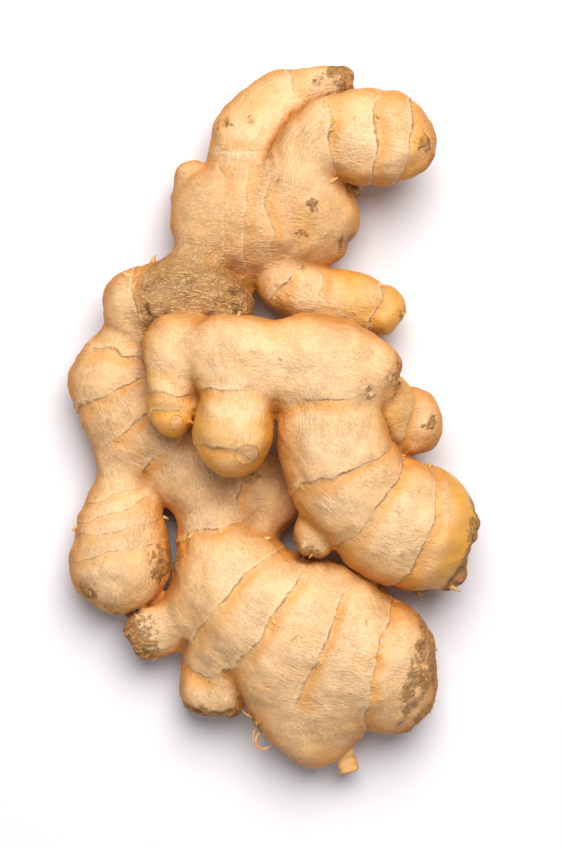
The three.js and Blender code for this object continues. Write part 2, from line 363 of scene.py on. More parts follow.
def mend_touching(grid):
    """Fills the places where the surface would touch itself along an edge or at a point."""
    v = grid.values
    solid = MENDED * grid.step
    while True:
        inside = v < 0
        fill = np.zeros_like(inside)
        for axis in range(3):
            u, w = (axis + 1) % 3, (axis + 2) % 3
            part = []
            for a, b in ((0, 0), (1, 0), (0, 1), (1, 1)):
                at = [slice(None)] * 3
                at[u] = slice(a, v.shape[u] - 1 + a)
                at[w] = slice(b, v.shape[w] - 1 + b)
                part.append(tuple(at))
            p, q, r, t = (inside[at] for at in part)
            crossed = (p == t) & (q == r) & (p != q)
            for at in part:
                fill[at] |= crossed & ~inside[at]
        size = np.array(v.shape) - 1
        count = corners_inside(inside)
        for i, j in ((0, 0), (0, 1), (1, 0), (1, 1)):
            one, two = (0, i, j), (1, 1 - i, 1 - j)
            near, far = (tuple(slice(c, c + n) for c, n in zip(corner, size)) for corner in (one, two))
            alone = (inside[near] == inside[far]) & (count == np.where(inside[near], 2, 6))
            for at in (near, far):
                fill[at] |= alone & ~inside[at]
            solo = alone & inside[near]
            filled = tuple(slice(0, n) for n in size)
            fill[filled] |= solo & ~inside[filled]
        if not fill.any():
            return
        v[fill] = solid


def surface_net(grid):
    """A closed quad mesh where the field is 0, one vertex in each cell that the surface crosses."""
    v = grid.values
    inside = v < 0
    held = corners_inside(inside)
    cells = np.argwhere((held > 0) & (held < len(CORNERS)))
    number = np.full(held.shape, -1, np.int64)
    number[tuple(cells.T)] = np.arange(len(cells))
    total = np.zeros((len(cells), 3))
    hits = np.zeros(len(cells))
    for axis in range(3):
        for c in CORNERS:
            if c[axis]:
                continue
            d = list(c)
            d[axis] = 1
            a = v[cells[:, 0] + c[0], cells[:, 1] + c[1], cells[:, 2] + c[2]]
            b = v[cells[:, 0] + d[0], cells[:, 1] + d[1], cells[:, 2] + d[2]]
            crossed = (a < 0) != (b < 0)
            t = np.where(crossed, a / np.where(crossed, a - b, 1), 0)
            place = np.tile(np.array(c, float), (len(cells), 1))
            place[:, axis] = t
            total += place * crossed[:, None]
            hits += crossed
    vertices = grid.low + grid.step * (cells + total / hits[:, None])
    faces = []
    for axis in range(3):
        u, w = (axis + 1) % 3, (axis + 2) % 3
        first = [slice(1, -1)] * 3
        first[axis] = slice(0, -1)
        second = list(first)
        second[axis] = slice(1, None)
        a, b = inside[tuple(first)], inside[tuple(second)]
        edges = np.argwhere(a != b)
        start = np.ones(3, int)
        start[axis] = 0
        at = edges + start
        leaving = a[tuple(edges.T)]
        ring = []
        for du, dw in ((-1, -1), (0, -1), (0, 0), (-1, 0)):
            cell = at.copy()
            cell[:, u] += du
            cell[:, w] += dw
            ring.append(number[tuple(cell.T)])
        quad = np.stack(ring, 1)
        quad[~leaving] = quad[~leaving][:, ::-1]
        faces.append(quad)
    return vertices, np.concatenate(faces)


def largest_part(vertices, faces):
    """Drops the sealed bubbles that lie inside the root."""
    label = np.arange(len(vertices))
    while True:
        low = label[faces].min(1)
        new = label.copy()
        np.minimum.at(new, faces.ravel(), np.repeat(low, 4))
        new = new[new]
        if (new == label).all():
            break
        label = new
    names, counts = np.unique(label, return_counts=True)
    keep = label == names[counts.argmax()]
    number = np.cumsum(keep) - 1
    return vertices[keep], number[faces[keep[faces[:, 0]]]]


def vertex_normals(vertices, faces):
    """Each vertex's outward direction, from the faces round it."""
    p = vertices[faces]
    cross = np.cross(p[:, 2] - p[:, 0], p[:, 3] - p[:, 1])
    total = np.zeros_like(vertices)
    for k in range(4):
        np.add.at(total, faces[:, k], cross)
    return total / np.maximum(np.linalg.norm(total, axis=1), NO_WEIGHT)[:, None]


def smoothed(values, faces, rounds):
    """Each vertex's value averaged with its neighbours'."""
    values = values.astype(float)
    for _ in range(rounds):
        mean = values[faces].mean(1)
        total = np.zeros_like(values)
        count = np.zeros(len(values))
        for k in range(4):
            np.add.at(total, faces[:, k], mean)
            np.add.at(count, faces[:, k], 1)
        values = total / (count if values.ndim == 1 else count[:, None])
    return values


def cloud(points, size, seed, octaves=3):
    """Cloudy noise from about -1 to 1, with lumps of a given size in millimetres."""
    shift = Vector((seed * 7.3, seed * 3.1, seed * 5.7))
    scaled = points / size
    return np.array([noise.fractal(Vector(p) + shift, 1.0, 2.0, octaves) for p in scaled.tolist()])


# ---------------------------------------------------------------- what marks the skin
# Spots: finger, share along it, turn in degrees from its top to its right, radius in mm, kind.
# An eye is a bud scar with a raised rim, a pit is where an old rootlet tore out, a disc is a
# round scar with rings in it, a nib is a small hard point, and a scab is a patch of dry crust.

SPOTS = [
    ("knob", 0.25, -25, 2.4, "pit"),
    ("knob", 0.22, 12, 3.0, "pit"),
    ("knob", 0.42, 25, 1.8, "pit"),
    ("knob", 0.62, -22, 2.2, "pit"),
    ("knob", 0.75, 28, 2.2, "pit"),
    ("knob", 0.95, -25, 2.6, "pit"),
    ("knob", 1.02, 10, 2.8, "pit"),
    ("upper_body", 0.5, -50, 2.6, "eye"),
    ("upper_body", 0.56, -30, 1.6, "pit"),
    ("upper_body", 0.14, -40, 1.0, "nib"),
    ("upper_body", 0.8, 20, 1.6, "pit"),
    ("upper_left_finger", 0.4, -48, 2.4, "pit"),
    ("upper_left_finger", 0.45, -10, 1.8, "pit"),
    ("upper_left_finger", 0.85, 5, 1.8, "pit"),
    ("upper_left_finger", 0.92, -30, 1.5, "pit"),
    ("upper_right_finger", 0.74, 68, 1.6, "eye"),
    ("middle_body", 1.1, 0, 2.2, "eye"),
    ("middle_body", 0.98, 30, 2.0, "pit"),
    ("middle_body", 0.86, 30, 1.2, "nib"),
    ("middle_body", 0.42, -10, 0.9, "nib"),
    ("middle_finger", 1.2, -30, 3.4, "disc"),
    ("small_finger", 1.2, -15, 2.2, "disc"),
    ("big_finger", 0.7, -10, 1.1, "nib"),
    ("big_finger", 0.8, 25, 1.3, "nib"),
    ("arc", 0.93, -25, 2.6, "eye"),
    ("arc", 0.38, 30, 0.9, "nib"),
    ("base_body", 0.62, 0, 1.1, "nib"),
    ("base_body", 0.6, -28, 0.8, "nib"),
    ("base_body", 0.5, -48, 1.0, "nib"),
    ("left_finger", 1.22, 45, 3.6, "scab"),
    ("left_finger", 0.98, -60, 5.5, "scab"),
    ("left_stub", 1.0, -30, 3.0, "scab"),
    ("big_stub", 1.1, -20, 3.4, "scab"),
    ("bottom_nub", 0.62, 78, 2.8, "scab"),
    ("upper_right_finger", 1.25, 0, 3.4, "scab"),
    ("upper_body", 0.92, -10, 2.2, "scab"),
    ("lower_finger", 1.2, 0, 2.6, "scab"),
    ("rear_finger", 1.1, -10, 2.6, "scab"),
    ("lower_finger", 0.42, -40, 1.0, "pit"),
    ("base_body", 0.5, 150, 3.0, "eye"),
    ("base_body", 0.75, 200, 2.0, "pit"),
    ("upper_body", 0.6, 170, 2.6, "eye"),
    ("arc", 0.5, 175, 2.2, "eye"),
]

# How strongly each kind of end is corky or golden, and how many millimetres back that reaches.
CORK_ENDS = {"broken": 1.0, "pitted": 0.6, "blunt": 0.35, "gold": 0.3, "disc": 0.15}
CORK_REACH = {"broken": 4.0, "pitted": 5.0, "blunt": 4.5, "gold": 2.5, "disc": 2.5}
GOLD_ENDS = {"gold": 0.9, "disc": 0.45, "blunt": 0.25}
GOLD_REACH = 11.0
RING_SPAN = 9.0
NO_CUT = 9.0
WOODY_START = -0.1
WOODY_FULL = 0.3
OWNER_REACH = 6.0
KIN_CREASE = 0.2
RAGGED = 0.9
SPOT_REACH = 2.2
SPOT_ROUGH = 0.5
NO_DISC = 3.0
GRAIN_APART = 37.0
GRAIN_MIX = 3.0


def owners(points, fingers):
    """For each point its two likeliest fingers, how clearly the first wins, and straightened places.

    A wide body leads: its skin runs on over the low swellings of the fingers that leave it.
    """
    count = len(points)
    first, second, plain = (np.full(count, -1) for _ in range(3))
    near, next_near, bare = (np.full(count, FAR) for _ in range(3))
    straight = np.zeros((2, count, 3))
    found = []
    for index, finger in enumerate(fingers.values()):
        low, high = finger.low - OWNER_REACH, finger.high + OWNER_REACH
        here = np.where(((points > low) & (points < high)).all(1))[0]
        place, distance = finger.straightened(points[here])
        found.append((here, place, distance))
        closer = here[distance < bare[here]]
        bare[closer], plain[closer] = distance[distance < bare[here]], index
    parent = parents(fingers)
    for index, finger in enumerate(fingers.values()):
        here, place, distance = found[index]
        kin = (plain[here] == index) | (parent[plain[here]] == index)
        distance = distance - finger.facts.get("lead", 0.0) * kin
        best = distance < near[here]
        won = here[best]
        second[won], next_near[won], straight[1][won] = first[won], near[won], straight[0][won]
        first[won], near[won], straight[0][won] = index, distance[best], place[best]
        runner = ~best & (distance < next_near[here])
        lost = here[runner]
        second[lost], next_near[lost], straight[1][lost] = index, distance[runner], place[runner]
    alone = second < 0
    second[alone] = first[alone]
    straight[1][alone] = straight[0][alone]
    return first, second, next_near - near, straight


def parents(fingers):
    """The number of each finger's parent, -1 for the first finger."""
    names = list(fingers)
    return np.array([names.index(f.facts["parent"]) if "parent" in f.facts else -1 for f in fingers.values()])


def creases(fingers, first, second, clear):
    """Where two fingers meet, for a groove in the skin and painted shade in it: sharp between neighbours,
    faint where one grows from the other.
    """
    parent = parents(fingers)
    grown_from = (parent[first] == second) | (parent[second] == first)
    return (1 - smooth_step(0.05, 0.9, clear)) * np.where(grown_from, KIN_CREASE, 1.0) * (first != second)


def ring_distance(fingers, first, place, points):
    """Millimetres past the nearest leaf scar, which wavers, and how clear it is of the next one."""
    ragged = RAGGED * cloud(points, 7.0, 11, 3)
    out = np.full(len(first), RING_SPAN)
    free = np.full(len(first), RING_SPAN)
    for index, finger in enumerate(fingers.values()):
        here = first == index
        along, aside, above = place[here].T
        angle = np.arctan2(aside, above)
        best = np.full(here.sum(), RING_SPAN)
        other = best.copy()
        for k, share in enumerate(finger.facts.get("rings", ())):
            phase = 1.7 * k + index
            waver = 0.7 * np.sin(2 * angle + phase) + 0.35 * np.sin(5 * angle + 2.3 * phase)
            slant = finger.facts.get("lean", 0.0) * aside
            past = along - share * finger.length - waver - slant - ragged[here]
            nearer = np.abs(past) < np.abs(best)
            other = np.where(nearer, np.abs(best), np.minimum(other, np.abs(past)))
            best = np.where(nearer, past, best)
        out[here] = best
        free[here] = smooth_step(0.2, 1.6, other - np.abs(best))
    return out, free


def end_masks(fingers, first, place):
    """How corky, golden and woody the skin is, from the kind of finger it belongs to."""
    cork, gold, woody = (np.zeros(len(first)) for _ in range(3))
    for index, finger in enumerate(fingers.values()):
        here = first == index
        end = finger.facts.get("end")
        share = place[here][:, 0] / finger.length
        woody[here] = finger.facts.get("woody", 0.0) * smooth_step(WOODY_START, WOODY_FULL, share)
        if not end:
            continue
        reach = finger.length + min(finger.reach, finger.facts.get("cut", NO_CUT) * finger.radius[-1])
        left = reach - place[here][:, 0]
        worn = CORK_ENDS[end] * (1 - smooth_step(0.3, finger.facts.get("worn", CORK_REACH[end]), left))
        cork[here] = worn
        gold[here] = GOLD_ENDS.get(end, 0.0) * (1 - smooth_step(GOLD_REACH * 0.4, GOLD_REACH, left))
    return cork, gold, woody


# Patches: finger, the shares along it between which it is golden, and how golden.
GOLD_PATCHES = [
    ("big_finger", 0.88, 1.5, 0.85),
    ("big_spur", 0.0, 1.5, 0.9),
    ("upper_body", 0.62, 1.0, 0.4),
    ("lower_finger", 0.6, 1.4, 0.55),
    ("small_finger", 0.1, 1.5, 0.6),
    ("middle_finger", 0.6, 1.5, 0.45),
    ("bottom_nub", 0.85, 1.5, 0.3),
    ("nub_shoulder", 0.7, 1.5, 0.9),
    ("upper_right_finger", 0.6, 1.1, 0.35),
    ("rear_finger", 0.2, 0.95, 0.5),
    ("upper_left_finger", 0.3, 0.95, 0.35),
]


def patches(fingers, first, place):
    """Smooth golden skin where young growth shows past a leaf scar."""
    gold = np.zeros(len(first))
    names = list(fingers)
    for name, start, stop, amount in GOLD_PATCHES:
        finger = fingers[name]
        here = first == names.index(name)
        share = place[here][:, 0] / finger.length
        band = smooth_step(start, start + 0.12, share) * (1 - smooth_step(stop - 0.15, stop, share))
        gold[here] = np.maximum(gold[here], amount * band)
    return gold


def spot_marks(points, fingers):
    """What the spots do to each point: the push outwards in mm, darkness, crust, and disc radii."""
    disc = np.full(len(points), NO_DISC)
    push, dark, crust, bare = (np.zeros(len(points)) for _ in range(4))
    rough = cloud(points, 1.3, 21, 2)
    for name, share, turn, radius, kind in SPOTS:
        aim = fingers[name].spot(share, turn)
        centre = points[np.linalg.norm(points - aim, axis=1).argmin()]
        d = np.linalg.norm(points - centre, axis=1) / radius
        here = d < SPOT_REACH
        x = d[here] + SPOT_ROUGH * rough[here] * (kind != "disc")
        rim = np.exp(-(((x - 0.8) / 0.3) ** 2))
        if kind == "pit":
            push[here] += 0.2 * radius * rim - 0.4 * radius * np.exp(-((x / 0.4) ** 2))
            dark[here] = np.maximum(dark[here], 0.9 * np.exp(-((x / 0.34) ** 2)))
            crust[here] = np.maximum(crust[here], 0.42 * rim)
        elif kind == "scab":
            push[here] += 0.1 * radius * np.exp(-((x / 0.9) ** 4)) * (0.6 + rough[here])
            dark[here] = np.maximum(dark[here], 0.35 * (rough[here] > 0.35) * (x < 0.9))
            crust[here] = np.maximum(crust[here], 0.75 * np.exp(-((x / 0.95) ** 4)))
        elif kind == "nib":
            push[here] += 0.4 * radius * np.exp(-((x / 0.6) ** 2))
            dark[here] = np.maximum(dark[here], 0.5 * np.exp(-(((x - 0.75) / 0.2) ** 2)) * (rough[here] > 0))
            crust[here] = np.maximum(crust[here], 0.2 * np.exp(-((x / 0.7) ** 2)))
        elif kind == "eye":
            push[here] += 0.16 * radius * rim + 0.2 * radius * np.exp(-((x / 0.35) ** 2))
            dark[here] = np.maximum(dark[here], 0.6 * np.exp(-(((x - 0.55) / 0.16) ** 2)))
            crust[here] = np.maximum(crust[here], 0.35 * np.exp(-((x / 0.85) ** 4)))
        else:
            disc[here] = np.minimum(disc[here], d[here])
            push[here] += 0.07 * radius * rim - 0.05 * radius * (x < 0.75)
            bare[here] = np.maximum(bare[here], 1 - smooth_step(0.75, 0.95, x))
    return push, dark, crust, bare, disc


def ridges(points, size, seed, octaves=2):
    """Noise with sharp crests, from about 0 to 1."""
    return 1 - np.abs(cloud(points, size, seed, octaves)) * 2


def skin_relief(points, ring, ring_on, cork, woody, push, place):
    """How far each point of the skin stands out, in mm."""
    lumps = 0.8 * cloud(points, 13.0, 1, 2) + 0.55 * cloud(points, 5.0, 2, 3)
    along = place * np.array([0.3, 1.0, 1.0])
    wrinkle = 0.16 * ridges(along, 1.7, 3, 2) * smooth_step(-0.2, 0.5, cloud(points, 8.0, 7, 2))
    wrinkle += woody * (0.8 * ridges(along, 2.4, 6) + 0.35 * ridges(along, 1.1, 8))
    past = np.maximum(ring, 0)
    before = np.maximum(-ring, 0)
    step = -0.62 * np.exp(-past / 2.2) * (ring > 0) + 0.25 * np.exp(-before / 0.9) * (ring <= 0)
    pinch = -0.4 * np.exp(-((ring / 2.6) ** 2))
    crust = (cork + 0.5 * woody) * (0.9 * cloud(points, 2.0, 4, 3) + 0.9 * cloud(points, 4.5, 5, 2))
    return lumps + wrinkle + ring_on * (pinch + step) + crust + push


def corner_grain(faces, fingers, first, second, points):
    """Straight-frame places for each face corner in the face's own two fingers, and their mix."""
    a, b = first[faces[:, 0]], second[faces[:, 0]]
    corner = faces.ravel()
    pairs = [np.repeat(a, 4), np.repeat(b, 4)]
    grain = [np.zeros((len(corner), 3)), np.zeros((len(corner), 3))]
    depth = [np.full(len(corner), FAR), np.full(len(corner), FAR)]
    for index, finger in enumerate(fingers.values()):
        for side in (0, 1):
            here = np.where(pairs[side] == index)[0]
            if len(here):
                unique, back = np.unique(corner[here], return_inverse=True)
                place, distance = finger.straightened(points[unique])
                place = place + np.array([GRAIN_APART * index, 0, 0])
                grain[side][here] = place[back]
                depth[side][here] = distance[back] - finger.facts.get("lead", 0.0)
    mix = smooth_step(-GRAIN_MIX, GRAIN_MIX, depth[0] - depth[1])
    mix[pairs[0] == pairs[1]] = 0
    return grain, mix


def put_attribute(mesh, name, kind, domain, values):
    """Stores values on a mesh under a name."""
    data = mesh.attributes.new(name, kind, domain).data
    field = "vector" if kind == "FLOAT_VECTOR" else "value"
    data.foreach_set(field, np.asarray(values, np.float32).ravel())


def mesh_object(name, vertices, faces, smooth=True):
    """A new object in the scene, from plain lists."""
    mesh = bpy.data.meshes.new(name)
    mesh.from_pydata(np.asarray(vertices).tolist(), [], [list(face) for face in faces])
    mesh.polygons.foreach_set("use_smooth", [smooth] * len(mesh.polygons))
    mesh.update()
    piece = bpy.data.objects.new(name, mesh)
    bpy.context.scene.collection.objects.link(piece)
    return piece


class Shape:
    """The grown root: its surface, what is known of each vertex, and its place in the frame."""

    def __init__(self, settings):
        self.fingers = grow()
        grid = root_field(self.fingers, settings.voxel / MM)
        mend_touching(grid)
        points, faces = largest_part(*surface_net(grid))
        first, second, clear, straight = owners(points, self.fingers)
        ring, free = ring_distance(self.fingers, first, straight[0], points)
        faint = smooth_step(-0.75, 0.15, cloud(points, 9.0, 15, 2))
        ring_on = free * smooth_step(0.3, 2.0, clear) * (0.25 + 0.75 * faint)
        ring_on = ring_on * (1 - smooth_step(6.5, 8.5, np.abs(ring)))
        cork, gold, woody = end_masks(self.fingers, first, straight[0])
        dull = self.fact("dull", 0.0)[first]
        ring_on = ring_on * self.fact("scar", 1.0)[first]
        gold = smoothed(np.maximum(gold, patches(self.fingers, first, straight[0])), faces, 8)
        woody = smoothed(woody, faces, 8)
        push, dark, crust, bare, disc = spot_marks(points, self.fingers)
        cork = np.maximum(smoothed(cork, faces, 3), crust)
        crease_and_shade = creases(self.fingers, first, second, clear)
        push = push - 0.8 * smoothed(crease_and_shade, faces, 1)
        relief = skin_relief(points, ring, ring_on, cork, woody, push, straight[0])
        self.grain, self.grain_mix = corner_grain(faces, self.fingers, first, second, points)
        normals = smoothed(vertex_normals(points, faces), faces, 2)
        points = points + normals * (settings.relief * smoothed(relief, faces, 1))[:, None]
        self.floor = points[:, 2].min() + ROOT_SUNK
        # Painted shade: faces that turn sideways or down.
        flank_shade = 1 - smooth_step(0.2, 0.85, normals[:, 2])
        # Painted highlight: faces that turn up.
        top_highlight = smooth_step(0.55, 1.0, normals[:, 2])
        # Painted shade: how far each vertex lies sunk below its neighbours.
        hollow_shade = ((smoothed(points, faces, 14) - points) * normals).sum(1) / 0.55
        points[:, 2] = np.maximum(points[:, 2], self.floor)
        self.faces = faces
        centre = (points.min(0) + points.max(0)) / 2
        self.shift = np.array([centre[0], centre[1], self.floor])
        self.points = self.placed(points)
        self.marks = dict(ring=ring, ring_on=ring_on, cork=cork, gold=gold, woody=woody, dark=dark, bare=bare,
                          disc=disc, flank_shade=smoothed(flank_shade, faces, 4), hollow_shade=smoothed(hollow_shade, faces, 2),
                          top_highlight=smoothed(top_highlight, faces, 4), crease_and_shade=smoothed(crease_and_shade, faces, 1),
                          dull=smoothed(dull, faces, 10))
        self.lay = self.lie(first, straight[0])

    def fact(self, name, otherwise):
        """One fact of every finger, in their order."""
        return np.array([finger.facts.get(name, otherwise) for finger in self.fingers.values()])

    def lie(self, first, place):
        """Which way each vertex's finger runs."""
        out = np.zeros((len(first), 3))
        for index, finger in enumerate(self.fingers.values()):
            here = first == index
            nearest = np.clip(np.searchsorted(finger.along, place[here][:, 0]), 0, finger.count - 1)
            out[here] = finger.tangent[nearest]
        return out

    def placed(self, points):
        """Grown millimetres to frame metres, on the frame's middle and its floor."""
        middle = (Vector(CAD_LOW) + Vector(CAD_HIGH)) / 2
        return (np.asarray(points) - self.shift) * MM + np.array([middle.x, middle.y, CAD_LOW[2]])


# ---------------------------------------------------------------- node trees

class Value:
    """A node's output, which adds Math nodes when it is used in an expression."""

    def __init__(self, kit, socket):
        self.kit, self.socket = kit, socket

    def maths(self, operation, first, second=0.0):
        """One Math node."""
        return self.kit.node("ShaderNodeMath", {0: first, 1: second}, operation=operation)

    def __add__(self, other):
        return self.maths("ADD", self, other)

    def __sub__(self, other):
        return self.maths("SUBTRACT", self, other)

    def __rsub__(self, other):
        return self.maths("SUBTRACT", other, self)

    def __mul__(self, other):
        return self.maths("MULTIPLY", self, other)

    def __truediv__(self, other):
        return self.maths("DIVIDE", self, other)

    __radd__ = __add__
    __rmul__ = __mul__

    def above(self, limit):
        """1 where the value is over the limit, 0 elsewhere."""
        return self.maths("GREATER_THAN", self, limit)

    def most(self, other):
        """The larger of two values."""
        return self.maths("MAXIMUM", self, other)

    def size(self):
        """The value without its sign."""
        return self.maths("ABSOLUTE", self)

    def bell(self, centre, width):
        """1 where the value is at the centre, falling away over the width."""
        x = (self - centre) / width
        return self.maths("EXPONENT", x * x * -1.0)

    def between(self, low, high):
        """0 below low, 1 above high, smooth between."""
        return self.kit.node("ShaderNodeMapRange", {"Value": self, "From Min": low, "From Max": high},
                             interpolation_type="SMOOTHSTEP")


class Kit:
    """Adds nodes to one tree."""

    def __init__(self, tree):
        self.tree = tree

    def node(self, kind, inputs=None, output=0, **settings):
        """Any node: its type, its inputs' values or links, and its settings, which are set first."""
        made = self.tree.nodes.new(kind)
        for name, value in settings.items():
            setattr(made, name, value)
        for key, value in (inputs or {}).items():
            if isinstance(value, Value):
                self.tree.links.new(value.socket, made.inputs[key])
            else:
                made.inputs[key].default_value = value
        return Value(self, made.outputs[output])

    def blend(self, share, first, second):
        """A mix of two colours."""
        return self.node("ShaderNodeMix", {0: share, 6: first, 7: second}, output=2, data_type="RGBA")

    def mark(self, name):
        """A number that the mesh carries."""
        return self.node("ShaderNodeAttribute", output=2, attribute_name=name)

    def place(self, name):
        """A vector that the mesh carries."""
        return self.node("ShaderNodeAttribute", output=1, attribute_name=name)

    def stretched(self, vector, factors):
        """A vector scaled along each axis."""
        return self.node("ShaderNodeVectorMath", {0: vector, 1: factors}, operation="MULTIPLY")

    def cloud(self, vector, scale, detail=2.0, rough=0.5):
        """Cloudy noise from 0 to 1."""
        return self.node("ShaderNodeTexNoise", {"Vector": vector, "Scale": scale, "Detail": detail,
                                                "Roughness": rough})


def rgb(colour):
    """A colour with its alpha."""
    return (*colour, 1.0)


def material(name):
    """A new material, its kit and its surface shader."""
    made = bpy.data.materials.new(name)
    made.use_nodes = True
    shader = made.node_tree.nodes["Principled BSDF"]
    return made, Kit(made.node_tree), shader


def feed(kit, shader, **values):
    """Links values to the shader's sockets, named with _ for a space."""
    for name, value in values.items():
        kit.tree.links.new(value.socket, shader.inputs[name.replace("_", " ")])


def skin_material(look):
    """Papery skin: fibre streaks along each finger, leaf scars, golden young growth and cork."""
    made, kit, shader = material("ginger_skin")
    ring, ring_on, disc = kit.mark("ring"), kit.mark("ring_on"), kit.mark("disc")
    cork, gold, woody = kit.mark("cork"), kit.mark("gold"), kit.mark("woody")
    dark, bare, mixed = kit.mark("dark"), kit.mark("bare"), kit.mark("grain_mix")
    hollow_shade, flank_shade, crease_and_shade = kit.mark("hollow_shade"), kit.mark("flank_shade"), kit.mark("crease_and_shade")
    dull, top_highlight = kit.mark("dull"), kit.mark("top_highlight")
    whole = kit.stretched(kit.node("ShaderNodeTexCoord", output=3), (1 / MM,) * 3)

    def grained(factors, detail, rough=0.55):
        """Noise drawn out along the fingers."""
        one, two = (kit.cloud(kit.stretched(kit.place(name), factors), 1.0, detail, rough)
                    for name in ("grain_a", "grain_b"))
        return one + (two - one) * mixed

    streaks = grained((0.4, 1.0, 1.0), 4.0, 0.6)
    hairs = grained((0.5, 2.4, 2.4), 3.0, 0.6)
    fibres = 1 - (hairs - 0.5).size() * 5
    wrinkles = 1 - (grained((0.35, 1.1, 1.1), 3.0, 0.6) - 0.5).size() * 7
    blotches = kit.cloud(whole, 0.09, 3.0)
    dust = kit.cloud(kit.stretched(whole, (1.0, -1.0, 1.0)), 0.13, 4.0, 0.6)
    crumbs = kit.cloud(whole, 0.26, 3.0, 0.6)
    coarse = kit.cloud(kit.stretched(whole, (-1.0, 1.0, 1.0)), 0.11, 2.0).between(0.42, 0.6) * 0.8 + 0.2
    specks = kit.cloud(whole, 1.6, 4.0, 0.7)
    grit = kit.cloud(whole, 0.7, 5.0, 0.7)

    worn = (cork * 1.6 + (grit - 0.5) * 1.6 + (crumbs - 0.5) * 2.6 - 0.5).between(0.1, 0.8)
    # Golden waxy skin from the gold marks and random blotches, plus a little painted shade on the flanks.
    waxy = (gold * 1.3 + (blotches - 0.5) * 1.2 + flank_shade * 0.25 - 0.25).between(0.0, 1.0) * (1 - worn)
    skin = kit.blend(streaks.between(0.3, 0.72) * 0.8, rgb(look.deep), rgb(look.pale))
    skin = kit.blend(blotches.between(0.45, 0.62) * 0.65, skin, rgb(look.warm))
    dusted = (dust.between(0.45, 0.66) * 0.45 + dull * 0.65).between(0.0, 1.0)
    skin = kit.blend(dusted * 0.8, skin, rgb(look.dusty))
    skin = kit.blend(fibres.between(0.35, 1.0) * 0.3, skin, rgb(look.light))
    # Painted highlight: the pale dry colour on faces that turn up, weaker on the dull fingers.
    skin = kit.blend(top_highlight * (1 - dull * 0.9) * 0.38, skin, rgb(look.light))
    # Painted shade in the grooves of the fine wrinkles, in patches.
    skin = kit.blend(wrinkles.between(0.5, 1.0) * dust.between(0.4, 0.6) * 0.3, skin, rgb(look.shade_and_specks))
    # Painted shade: flanks, undersides and hollows turned to the deeper orange.
    skin = kit.blend((flank_shade + hollow_shade.most(0.0) * 0.5).between(0.0, 1.0) * 0.85, skin, rgb(look.side))
    skin = kit.blend(woody * (0.35 + grit.between(0.4, 0.62) * 0.35), skin, rgb(look.wood))
    skin = kit.blend(woody * wrinkles.between(0.45, 1.0) * 0.6, skin, rgb(look.line))
    skin = kit.blend(specks.between(0.56, 0.72) * 0.35, skin, rgb(look.shade_and_specks))
    skin = kit.blend(waxy * 0.85, skin, rgb(look.gold))
    rind = kit.blend(grit.between(0.36, 0.6), rgb(look.cork_dark), rgb(look.cork_pale))
    skin = kit.blend(worn * 0.85, skin, rind)
    edge = ring + (grit - 0.5) * 1.6
    skin = kit.blend(ring_on * edge.bell(-0.5, 0.35) * 0.45, skin, rgb(look.light))
    broken = (crumbs * 0.6 + grit * 0.4).between(0.42, 0.58)
    # A thin dark line at each leaf scar: darker where the skin is torn, and elsewhere a faint painted shadow
    # under the scar's raised edge.
    line = ring_on * edge.bell(0.1, 0.24) * (broken * 0.6 + 0.15)
    halo = ring_on * ring.bell(1.6, 1.5) * 0.7
    skin = kit.blend(halo * 0.9, skin, rgb(look.warm))
    skin = kit.blend(line, skin, rgb(look.line))
    # Painted shade in hollows.
    skin = kit.blend(hollow_shade.between(0.35, 1.6) * 0.6, skin, rgb(look.shade_and_specks))
    # Painted shade where two fingers meet.
    skin = kit.blend(crease_and_shade * 0.8, skin, rgb(look.shade_and_specks))
    skin = kit.blend(bare * 0.65, skin, rgb(look.scar))
    circles = ((disc + (crumbs - 0.5) * 0.4).bell(0.85, 0.07) + disc.bell(0.52, 0.05) * 0.3) * 0.5
    skin = kit.blend(circles, skin, rgb(look.line))
    skin = kit.blend(dark * 0.8, skin, rgb(look.pit))

    height = (streaks * 0.22 + fibres * 0.09 * (1 - waxy * 0.6) - wrinkles * 0.12) * coarse
    height = height - woody * wrinkles * 0.5
    height = height + worn * grit * 1.6 + woody * grit * 0.5 + crumbs * 0.35
    height = height - line * 0.3 - circles * 0.12 + specks * 0.2
    bump = kit.node("ShaderNodeBump", {"Strength": 0.9, "Distance": MM, "Height": height})
    rough = 0.5 + streaks * 0.14 + worn * 0.2 - waxy * 0.2
    feed(kit, shader, Base_Color=skin, Roughness=rough, Normal=bump)
    shader.inputs["Subsurface Weight"].default_value = 0.05
    shader.inputs["Specular IOR Level"].default_value = 0.75
    shader.inputs["Subsurface Radius"].default_value = (1.0, 0.5, 0.2)
    shader.inputs["Subsurface Scale"].default_value = 2.0 * MM
    shader.inputs["IOR"].default_value = 1.45
    return made


def husk_material(name, first, second, roughness):
    """Dry husk, for flakes, fibres and rootlets."""
    made, kit, shader = material(name)
    whole = kit.stretched(kit.node("ShaderNodeTexCoord", output=3), (1 / MM,) * 3)
    patchy = kit.cloud(whole, 0.35, 3.0)
    fine = kit.cloud(whole, 3.0, 3.0, 0.6)
    colour = kit.blend(patchy.between(0.35, 0.65), rgb(first), rgb(second))
    bump = kit.node("ShaderNodeBump", {"Strength": 0.6, "Distance": 0.2 * MM, "Height": fine})
    feed(kit, shader, Base_Color=colour, Roughness=fine * 0.2 + roughness, Normal=bump)
    return made


# ---------------------------------------------------------------- geometry trees

